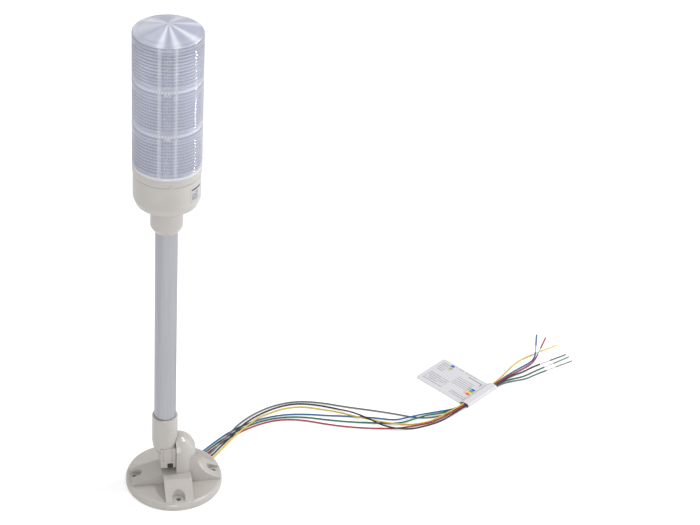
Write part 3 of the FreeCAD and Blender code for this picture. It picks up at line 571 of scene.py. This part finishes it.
def make_cover():
    """The one-piece cover: rings outside, upright flutes inside, a low cone on top."""
    outline = [(27.75, COVER_FOOT, "foot"), (OUTER - 0.1, COVER_FOOT, "foot"),
               (OUTER, COVER_FOOT + 0.2, "out")]
    for tier in range(TIERS):
        low = COVER_FOOT + tier * TIER
        for step in range(1, RINGS * RING_STEPS + 1):
            height = low + step * RING_PITCH / RING_STEPS
            dip = RING_DEPTH * (1 - abs(math.cos(math.pi * step / RING_STEPS)))
            outline.append((OUTER - dip if tier or step > 2 else OUTER - 0.1, height, "out"))
        top = low + TIER
        if tier < TIERS - 1:
            outline += [(OUTER, top - 0.9, "out"), (29.75, top - 0.6, "out"),
                        (29.75, top - 0.2, "out"), (OUTER, top, "out")]
    outline += [(OUTER, RIM - 1.6, "top"), (29.8, RIM - 0.7, "top"), (29.2, RIM - 0.1, "top"),
                (28.4, RIM + 0.15, "top"), (26.0, RIM + 0.5, "top"), (25.1, RIM + 0.75, "top"),
                (24.6, RIM + 1.2, "top")]
    for step in range(1, 12):
        share = step / 12
        outline.append((24.6 * (1 - share), RIM + 1.2 + 6.2 * share - 0.3 * share ** 6, "top"))
    outline += [(0, RIM + 7.2, "top"), (0, RIM + 5.0, "in"), (22.5, RIM - 0.9, "in"),
                (26.5, RIM - 2.0, "in")]
    for tier in reversed(range(TIERS)):
        low = COVER_FOOT + tier * TIER
        shy = 1.4 if tier == TIERS - 1 else 0.6
        outline += [(BORE, low + TIER - shy, "flute"), (BORE, low + 0.6, "flute")]

    def wave(kind, angle):
        return -FLUTE_DEPTH * abs(math.cos(angle * FLUTES / 2)) if kind == "flute" else 0

    cover = spun("clear_cover", outline, FLUTES * 5, wave)
    cover.data.materials.append(clear_plastic("clear_cover", (0.875, 0.90, 1.0), 0.10))
    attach(cover, "light")
    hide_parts("lens_cover")


# ---------------------------------------------------------------- tag and label
def tag_material():
    """White paper with, on top, generic rows of dashes, thin lines and colour fields.  The
    tag's own directions come from object coordinates."""
    material, shader, new, link = new_material("tag_paper")
    math_of, band = maths(new, link)
    place = new("ShaderNodeTexCoord")
    mapping = new("ShaderNodeMapping")
    mapping.vector_type = "TEXTURE"
    mapping.inputs["Location"].default_value = tuple(TAG_PLACE * MM)
    mapping.inputs["Rotation"].default_value = (0, 0, TAG_TURN)
    link(place.outputs["Object"], mapping.inputs["Vector"])
    apart = new("ShaderNodeSeparateXYZ")
    link(mapping.outputs["Vector"], apart.inputs["Vector"])
    along, across = apart.outputs["X"], apart.outputs["Y"]

    def field(a0, a1, c0, c1):
        """1 in a rectangle: along the folded edge, then away from it."""
        return math_of("MULTIPLY", band(along, a0 * MM, a1 * MM),
                       band(across, c0 * MM, c1 * MM))

    def over(base, mask, colour, weight=1.0):
        """A colour laid over what is there, where the mask is 1."""
        mix = new("ShaderNodeMix")
        mix.data_type = "RGBA"
        link(math_of("MULTIPLY", mask, weight), mix.inputs[0])
        link(base, mix.inputs[6])
        mix.inputs[7].default_value = (*colour, 1)
        return mix.outputs[2]

    fibre = noise_of(new, link, 700, 4)
    paper = ramp_of(new, link, fibre, (0.60, 0.60, 0.63), (0.66, 0.66, 0.69))
    ink = (0.10, 0.10, 0.11)
    broken = math_of("GREATER_THAN", noise_of(new, link, 260, 1), 0.40)

    def rows_of(pitch, part):
        """Lines across the tag, each taking this part of the pitch."""
        return math_of("LESS_THAN", math_of("FRACT", math_of(
            "MULTIPLY", along, 1 / (pitch * MM))), part)

    bars = math_of("MULTIPLY", rows_of(3.0, 0.42), broken)
    for block in ((6, 21, 37, 62), (26, 41, 53, 62), (5.5, 11, 8, 27), (40.5, 43, 18, 48)):
        paper = over(paper, math_of("MULTIPLY", bars, field(*block)), ink, 0.5)
    wires = math_of("MULTIPLY", rows_of(2.9, 0.22), field(18, 34, 15, 36))
    paper = over(paper, wires, ink, 0.7)
    paper = over(paper, field(38.7, 39.5, 10.8, 28), ink)
    paper = over(paper, field(35.0, 39.5, 10.6, 11.4), ink)
    for k, paint in enumerate(((0.75, 0.10, 0.02), (0.85, 0.55, 0.04), (0.05, 0.40, 0.10),
                               (0.03, 0.12, 0.55))):
        left = 15.5 + 3 * k
        paper = over(paper, field(left, left + 2.8, 9, 13.5), paint)
        paper = over(paper, field(left, left + 2.8, 14, 16.5), paint, 0.45)
    paper = over(paper, field(39.5, 43, 49, 53), (0.05, 0.12, 0.45))
    paper = over(paper, field(35.5, 38.5, 48, 52), (0.10, 0.40, 0.30), 0.8)
    paper = over(paper, field(32.3, 35.2, 48, 52), (0.80, 0.45, 0.12), 0.8)
    link(paper, shader.inputs["Base Color"])
    shader.inputs["Roughness"].default_value = 0.55
    bump_of(new, link, fibre, shader, 0.00003)
    return material


def label_material():
    """Pale film with a dark bar and rows of short dashes, by height and turn."""
    material, shader, new, link = new_material("label_film")
    math_of, band = maths(new, link)
    across, forward, height = axes_of(new, link)
    turn = math_of("ARCTAN2", forward, math_of("SUBTRACT", across, AXIS_X * MM))

    def patch(low, high, right, left):
        """1 between two heights in millimetres and two turns in degrees."""
        return math_of("MULTIPLY", band(height, low * MM, high * MM),
                       band(turn, math.radians(right), math.radians(left)))

    rows = math_of("LESS_THAN", math_of("FRACT", math_of("MULTIPLY", height, 1 / (1.5 * MM))),
                   0.5)
    rows = math_of("MULTIPLY", rows, patch(326.6, 334.6, -51, -34))
    broken = math_of("GREATER_THAN", noise_of(new, link, 500, 1), 0.42)
    print_mask = math_of(
        "MAXIMUM", math_of("MULTIPLY", patch(336.0, 337.8, -51, -27), 0.9),
        math_of("MULTIPLY", math_of("MULTIPLY", rows, broken), 0.75))
    tone = ramp_of(new, link, print_mask, (0.52, 0.52, 0.55), (0.06, 0.06, 0.07))
    link(tone, shader.inputs["Base Color"])
    shader.inputs["Roughness"].default_value = 0.45
    return material


def make_label():
    """The pale rating label on the lower body's right side, a thin bent sheet."""
    bm = bmesh.new()
    rows, columns = 6, 10
    radius, low, high = 29.43, 325.0, 339.5
    start, sweep = math.radians(-54), math.radians(31)
    grid = []
    for i in range(rows + 1):
        line = []
        for j in range(columns + 1):
            angle = start + sweep * j / columns
            height = low + (high - low) * i / rows
            line.append(bm.verts.new(((AXIS_X + radius * math.cos(angle)) * MM,
                                      radius * math.sin(angle) * MM, height * MM)))
        grid.append(line)
    for i in range(rows):
        for j in range(columns):
            bm.faces.new((grid[i][j], grid[i][j + 1], grid[i + 1][j + 1], grid[i + 1][j]))
    plate = link_object("rating_plate", smooth_mesh("rating_plate", bm))
    thick = plate.modifiers.new("thick", "SOLIDIFY")
    thick.thickness = 0.00012
    thick.offset = 1
    edge = plate.modifiers.new("edge", "BEVEL")
    edge.width = 0.00004
    plate.data.materials.append(label_material())
    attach(plate, "mast")


dress_all()
make_cover()
dress(tag_material(), "wire_tag")
make_label()
